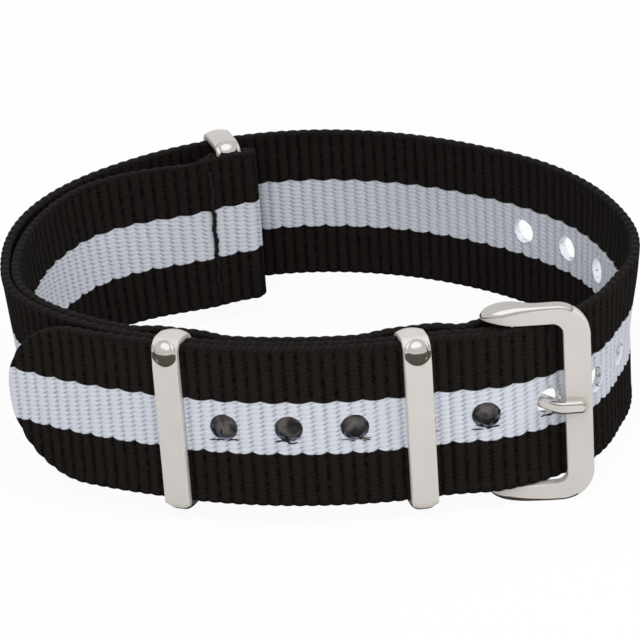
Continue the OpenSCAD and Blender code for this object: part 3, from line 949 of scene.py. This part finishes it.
def plate_section(width, front, back, radii, satin, side=0.0, inner=0.0):
    """Section of flat bar, from its front face round: across, depth and finish."""
    # On the front corner, a finish between polished and satin draws a dark line of painted reflection
    painted_streak = max(side, 0.55 * min(1.0, inner))
    r = [min(v, 0.42 * width, 0.42 * (back - front)) for v in radii]
    corners = ((width - r[0], front + r[0], r[0], -90), (width - r[1], back - r[1], r[1], 0),
               (r[2], back - r[2], r[2], 90), (r[3], front + r[3], r[3], 180))
    out = []
    for k, (cx, cy, cr, a0) in enumerate(corners):
        for t in np.linspace(a0, a0 + 90, 10):
            c, s = circle(t, cr)
            out.append((cx + c, cy + s, painted_streak if k == 0 and t < -65 else (side, side, inner, inner)[k]))
        nx, ny, nr, b0 = corners[(k + 1) % 4]
        c, s = circle(b0, nr)
        p, q = out[-1], (nx + c, ny + s)
        gap = math.hypot(q[0] - p[0], q[1] - p[1])
        near = min(0.04, 0.2 * gap) / max(gap, 1e-6)
        finish = (side, 0.0, inner, satin)[k]
        out += [(p[0] + (q[0] - p[0]) * f, p[1] + (q[1] - p[1]) * f, finish)
                for f in (near, 0.35, 0.65, 1 - near)]
    return out


# Inner corner of the frame's opening, and the front's height at the arms' ends
INNER_CORNER_R = 1.3
END_FRONT = 0.12


def frame_edges():
    """Inner and outer edge points with their x, from one arm's end round the bar to the other's."""
    x1 = BAR_REACH + BAR_W / 2
    x0 = BAR_REACH - BAR_W / 2
    top = FRAME_H / 2
    low = OPENING / 2
    r_in = INNER_CORNER_R
    pairs = []
    for f in np.linspace(0.03, 1, 40):
        x = -EYE_R + (x1 - CORNER_R + EYE_R) * f ** 1.6
        u = np.clip((x + EYE_R) / (2.8 * EYE_R), 0, 1)
        drop = 0.85 * ARM_H * (1 - math.sqrt(1 - (1 - u) ** 2))
        pairs.append(((min(x, x0 - r_in), low + 0.55 * (1 - ease(x, -EYE_R, 2.6))), (x, top - drop), x))
    for t in np.linspace(90, 0, 21)[1:]:
        c, s = circle(t)
        pairs.append(((x0 - r_in + r_in * c, low - r_in + r_in * s),
                      (x1 - CORNER_R + CORNER_R * c, top - CORNER_R + CORNER_R * s), x1))
    for f in np.linspace(0, 1, 8)[1:]:
        pairs.append(((x0, (low - r_in) * (1 - f)), (x1, (top - CORNER_R) * (1 - f)), x1))
    return pairs + [((i[0], -i[1]), (o[0], -o[1]), x) for i, o, x in pairs[-2::-1]]


def buckle_frame():
    """The buckle's arms and bar: flat satin front, polished edges and slim round ends."""
    bar_back = -FRONT_RISE + BAR_T
    rings, uvs = [], []
    for (ix, iz), (ox, oz), x in frame_edges():
        nose = math.sqrt(max(0.0, 1 - (max(0.0, 1.3 - x) / 3.0) ** 2))
        front = -END_FRONT - (FRONT_RISE - END_FRONT) * nose
        end_back = math.sqrt(max(0.02, EYE_R ** 2 - min(x, 0.8) ** 2)) * 0.6
        back = end_back + (bar_back - end_back) * ease(x, 0.6, 4.6)
        width = math.hypot(ox - ix, oz - iz)
        on_arm = ease(1 - abs(oz - iz) / width, 0.15, 0.45)
        radii = (0.3 + 0.45 * (1 - ease(x, 0.0, 6.0)), 0.55 + 0.3 * on_arm, 0.7, 0.12)
        section = np.array(plate_section(width, front, back, radii, 2.0, 2.0 * on_arm, 1.6))
        f = section[:, 0] / width
        rings.append(np.column_stack([ix + (ox - ix) * f, section[:, 1], iz + (oz - iz) * f]))
        uvs.append(np.column_stack([f, section[:, 2]]))
    return loft("buckle_frame_steel", on_pin(rings), np.array(uvs), False, FRAME_STEEL)


frame_piece = buckle_frame()
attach(frame_piece, "buckle")
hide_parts("buckle_frame")

# The tongue's gap to the bar, the length of its bend, how far its tip stops short and the tip's round
TONGUE_OFF, TONGUE_BEND, TONGUE_SHORT, TONGUE_ROUND = 0.08, 3.9, 0.9, 0.5
TONGUE_RADII = (0.34, 0.3, 0.3, 0.34)


def buckle_tongue():
    """The tongue: round through the hole, flattened where it lies on the bar."""
    y_bar = -FRONT_RISE - TONGUE_OFF - TONGUE_T / 2
    flat_x = BAR_REACH - BAR_W / 2 - 0.1
    bend_x = flat_x - TONGUE_BEND
    round_x = BAR_REACH + BAR_W / 2 - TONGUE_SHORT - TONGUE_ROUND
    xs = np.concatenate([np.linspace(PIN_R + 0.3, round_x, 50),
                         round_x + TONGUE_ROUND * np.sin(np.linspace(0.08, 0.98, 9) * np.pi / 2)])
    line = np.stack([xs, TONGUE_IN + (y_bar - TONGUE_IN) * ease(xs, bend_x, flat_x)], axis=-1)
    d = np.gradient(line, axis=0)
    d /= np.hypot(*d.T)[:, None]
    rings, uvs = [], []
    for (x, y), (tx, ty) in zip(line, d):
        end = math.sqrt(max(0.0, 1 - (max(0.0, x - round_x) / TONGUE_ROUND) ** 2))
        width = TONGUE_W * (0.86 + 0.1 * ease(x, bend_x, flat_x)) - 0.9 * (1 - end)
        thick = TONGUE_T * (0.55 + 0.45 * end)
        across, depth, finish = np.array(plate_section(width, -thick / 2, thick / 2, TONGUE_RADII, 2.0)).T
        rings.append(np.column_stack([x - ty * depth, y + tx * depth, across - width / 2]))
        uvs.append(np.column_stack([across, finish]))
    return loft("buckle_tongue_steel", on_pin(rings), np.array(uvs), False, FRAME_STEEL)


tongue = buckle_tongue()
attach(tongue, "tongue")

EYE_WALL = 0.7
EYE_SQUARE = 0.6


def tongue_eye():
    """The eye that turns the tongue on the pin."""
    rings, uvs = [], []
    inner = PIN_R + PIN_FIT
    outer = inner + EYE_WALL
    q = 2 * math.pi * np.arange(16) / 16
    c = np.copysign(np.abs(np.cos(q)) ** EYE_SQUARE, np.cos(q))
    s = np.copysign(np.abs(np.sin(q)) ** EYE_SQUARE, np.sin(q))
    r = (inner + outer) / 2 + (outer - inner) / 2 * c
    for t in np.linspace(0, 2 * math.pi, 40, endpoint=False):
        rings.append(np.column_stack([r * math.cos(t), r * math.sin(t), TONGUE_W / 2 * s]))
        uvs.append(np.column_stack([c, 0 * c]))
    return loft("buckle_tongue_eye", on_pin(rings), np.array(uvs), True, FRAME_STEEL)


eye = tongue_eye()
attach(eye, "tongue")
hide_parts("buckle_tongue")

pin_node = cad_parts["buckle_pin"]
pin_node.data.materials.clear()
pin_node.data.materials.append(PIN_STEEL)


# Thread
def tube(points, radius, sides=8, wave=0.0, turns=3.0):
    """Twisted thread along points, with rounded ends."""
    p = np.asarray(points, dtype=float)
    d = np.gradient(p, axis=0)
    d /= np.linalg.norm(d, axis=1)[:, None]
    askew = np.array([0.3, 0.5, 0.81])
    rings = []
    for k, t in enumerate(np.arange(len(p)) / (len(p) - 1)):
        side = np.cross(d[k], askew)
        side /= np.linalg.norm(side)
        up = np.cross(side, d[k])
        r = radius * math.sqrt(max(0.04, 1 - (2 * t - 1) ** 8))
        ring = []
        for q in [2 * math.pi * j / sides for j in range(sides)]:
            swollen = r * (1 + wave * math.cos(2 * q + 2 * math.pi * turns * t))
            ring.append(p[k] + swollen * (math.cos(q) * side + math.sin(q) * up))
        rings.append(ring)
    return np.array(rings)


def join_tubes(name, tubes):
    verts, faces, base = [], [], 0
    for rings in tubes:
        n, m = rings.shape[:2]
        verts.append(rings.reshape(-1, 3))
        for i in range(n - 1):
            a, b = base + i * m, base + (i + 1) * m
            faces += [(a + j, a + (j + 1) % m, b + (j + 1) % m, b + j) for j in range(m)]
        faces.append(tuple(base + j for j in range(m - 1, -1, -1)))
        faces.append(tuple(base + (n - 1) * m + j for j in range(m)))
        base += n * m
    return mesh_object(name, placed(np.concatenate(verts)), faces, materials=[THREAD])


STITCH_LEN, STITCH_GAP, ROW_MARGIN = 1.7, 0.5, 1.2
STITCH_PAST = 0.24
THREAD_R = 0.2
# Places of the rows: before the pin and the near keeper, past the tab's end in degrees,
# and on both sides of the far keeper
FOLD_ROW_AT, TAB_ROW_TURN, KEEPER_ROW_AT = 5, 2.4, 5.2


def stitch_row(a, o_out, o_in, rng):
    """Stitches across the webbing on both faces, dipping into it at their ends."""
    out = []
    pitch = STITCH_LEN + STITCH_GAP
    count = int((STRAP_W - 2 * ROW_MARGIN + STITCH_GAP) / pitch)
    z0 = MID_Z - (count * pitch - STITCH_GAP) / 2
    for k in range(count):
        for o, sign in ((o_out, 1), (o_in, -1)):
            slant = rng.uniform(-0.12, 0.12)
            t = np.linspace(0, 1, 11)
            dip = 0.3 * np.abs(2 * t - 1) ** 6
            z = z0 + k * pitch - STITCH_PAST + (STITCH_LEN + 2 * STITCH_PAST) * t
            pts = np.column_stack([slant * (2 * t - 1), -sign * (0.04 - dip), z])
            out.append(tube(on_loop(pts, a, o), THREAD_R, wave=0.22))
    return out


def closing_seam():
    """The thick thread that closes the end loop, across the whole width."""
    z = np.linspace(1.0, STRAP_W - 1.0, 120)
    points = np.stack([0.1 * np.sin(z * 1.9) + 0.06 * np.sin(z * 5.3),
                       0.05 + 0.09 * np.abs(np.sin(math.pi * z / (STITCH_LEN + STITCH_GAP))), z], axis=-1)
    return tube(on_loop(points, STITCH_A, SHORT_END_O - STRAP_T), 0.23, wave=0.3, turns=26)


rng = np.random.default_rng(7)
fold_rows = []
for a in (along(PIN_ANGLE, -FOLD_ROW_AT, 0), along(NEAR_A, -FOLD_ROW_AT, 0)):
    fold_rows += stitch_row(a, run_o(a), inner_face(a) - STRAP_T, rng)
keeper_rows = []
for a in (TAB_END_A - TAB_ROW_TURN, along(FAR_A, KEEPER_ROW_AT, 0), along(FAR_A, -KEEPER_ROW_AT, 0)):
    keeper_rows += stitch_row(a, 0, inner_face(a) - STRAP_T, rng)
end_rows = stitch_row(STITCH_A, SHORT_END_O + LAYER_GAP + STRAP_T, SHORT_END_O - STRAP_T, rng)
end_rows.append(closing_seam())
for name, rows, node in (("fold_stitching_thread", fold_rows, "fold_stitching"),
                         ("keeper_stitching_thread", keeper_rows, "keeper_stitching"),
                         ("end_loop_stitching_thread", end_rows, "end_loop_stitching")):
    piece = join_tubes(name, rows)
    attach(piece, "strap")
    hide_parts(node)


def stray_threads(name, holes, seed):
    """Short black ends that lie along the lower edge of the punched holes."""
    rng = np.random.default_rng(seed)
    out = []
    for h in holes:
        for z in (-0.06, -0.16, -0.28, -0.1):
            mid = rng.uniform(-1.3, 1.3)
            s = h + mid + rng.uniform(0.35, 0.75) * np.linspace(-1, 1, 9)
            low = np.sqrt(np.clip(HOLE_R ** 2 - np.clip(s - h, -HOLE_R, HOLE_R) ** 2, 0.75, None))
            zz = MID_Z - np.maximum(low, 0.9 * HOLE_R) + z + 0.04 * np.sin(5 * (s - h) + rng.uniform(0, 6))
            xy = LONG.point(s, np.full(9, HALF_T - 0.01))
            out.append(tube(np.column_stack([xy, zz]), rng.uniform(0.05, 0.09), sides=6))
    return join_tubes(name, out)


stray_tail = stray_threads("stray_threads_tail", TAIL_HOLES, 11)
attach(stray_tail, "strap")
stray_left = stray_threads("stray_threads_span", LEFT_HOLES, 12)
with_span(stray_left, True)

# Floor, light and camera. These lengths are in metres
FLOOR_HALF = 3
FLOOR_SEEN = 0.93
WINDOW_TOWARD = (-0.08, -0.34, 0.937)
LAMPS = (("key", (-0.1, -0.37, 0.2), 0.2, 0.55),
         ("fill", (0.36, -0.12, 0.24), 0.2, 0.52),
         ("top", (0.02, -0.12, 0.42), 0.25, 0.5))
LAMPS_AIM = (0, 0, 0.01)


def pale_floor():
    """Polished metal sees the floor dark beside the strap and grey farther off."""
    m = Material("floor_white")
    m.set("Base Color", (0.9, 0.9, 0.9))
    m.set("Roughness", 0.9)
    m.set("Specular IOR Level", 0.0)
    ray = m.node("LightPath")
    glow = m.node("Emission")
    m.put(1.0, glow.inputs["Strength"])
    seen = m.node("MixShader")
    m.put(m.mul(ray.outputs["Is Camera Ray"], FLOOR_SEEN), seen.inputs[0])
    m.put(m.shader.outputs[0], seen.inputs[1])
    m.put(glow.outputs[0], seen.inputs[2])
    distance = m.node("VectorMath")
    distance.operation = "LENGTH"
    m.put(m.node("NewGeometry").outputs["Position"], distance.inputs[0])
    far = m.step(distance.outputs["Value"], 0.07, 0.13)
    dim = m.node("BsdfDiffuse")
    m.put(m.mix(far, (0.09, 0.08, 0.07), (0.6, 0.58, 0.55)), dim.inputs["Color"])
    in_metal = m.node("MixShader")
    m.put(ray.outputs["Is Glossy Ray"], in_metal.inputs[0])
    m.put(seen.outputs[0], in_metal.inputs[1])
    m.put(dim.outputs[0], in_metal.inputs[2])
    out = next(n for n in m.tree.nodes if n.type == "OUTPUT_MATERIAL")
    m.put(in_metal.outputs[0], out.inputs[0])
    corners = [(x * FLOOR_HALF, y * FLOOR_HALF, 0) for x, y in ((-1, -1), (1, -1), (1, 1), (-1, 1))]
    floor = mesh_object("floor", corners, [(0, 1, 2, 3)], materials=[m.material])


def studio():
    """White world, which polished metal sees as a grey room with one bright window."""
    world = bpy.data.worlds.new("studio")
    bpy.context.scene.world = world
    world.use_nodes = True
    g = Graph(world.node_tree)
    ray = g.node("LightPath")
    seen = g.math("MAXIMUM", ray.outputs["Is Camera Ray"], ray.outputs["Is Transmission Ray"])
    glossy = ray.outputs["Is Glossy Ray"]
    toward = g.node("VectorMath")
    toward.operation = "DOT_PRODUCT"
    toward.inputs[1].default_value = WINDOW_TOWARD
    g.put(g.node("TexCoord").outputs["Generated"], toward.inputs[0])
    mirrored = g.scaled(g.step(toward.outputs["Value"], 0.7, 0.88), 0.5, 0.6)
    plain = g.scaled(seen, 0.46, 0.54)
    strength = g.add(g.mul(g.sub(1.0, glossy), plain), g.mul(glossy, mirrored))
    background = g.tree.nodes["Background"]
    g.put((1, 1, 1), background.inputs["Color"])
    g.put(strength, background.inputs["Strength"])


def set_in_scene(name, data, x, y, z, place):
    """New object with its three axes and its place."""
    obj = bpy.data.objects.new(name, data)
    bpy.context.scene.collection.objects.link(obj)
    matrix = Matrix.Identity(4)
    for k in range(3):
        matrix[k][0], matrix[k][1], matrix[k][2], matrix[k][3] = x[k], y[k], z[k], place[k]
    obj.matrix_world = matrix
    return obj


def lamp(name, place, size, watts):
    """Round soft lamp that metal doesn't mirror."""
    data = bpy.data.lights.new(name, "AREA")
    data.shape = "DISK"
    data.size = size
    data.energy = watts
    p, q = np.array(place), np.array(LAMPS_AIM)
    z = (p - q) / np.linalg.norm(p - q)
    x = np.cross((0, 0, 1), z)
    x /= np.linalg.norm(x)
    set_in_scene(name, data, x, np.cross(z, x), z, p).visible_glossy = False


PITCH, ROLL = math.radians(26), math.radians(-3.986)
CAMERA_AT = (-0.35, -343.17 - MIDDLE[1], 178.04)
LENS = 180


def camera():
    """The photograph's view: a long lens, looking down and tilted a little."""
    c, s = math.cos(ROLL), math.sin(ROLL)
    right = (c, s * math.sin(PITCH), s * math.cos(PITCH))
    up = (-s, c * math.sin(PITCH), c * math.cos(PITCH))
    back = (0, -math.cos(PITCH), math.sin(PITCH))
    data = bpy.data.cameras.new("camera")
    data.lens = LENS
    data.sensor_width = 36
    data.clip_start = 0.01
    data.clip_end = 20
    obj = set_in_scene("camera", data, right, up, back, [v * MM for v in CAMERA_AT])
    bpy.context.scene.camera = obj


pale_floor()
studio()
for one in LAMPS:
    lamp(*one)
camera()
bpy.context.scene.view_settings.view_transform = "Standard"
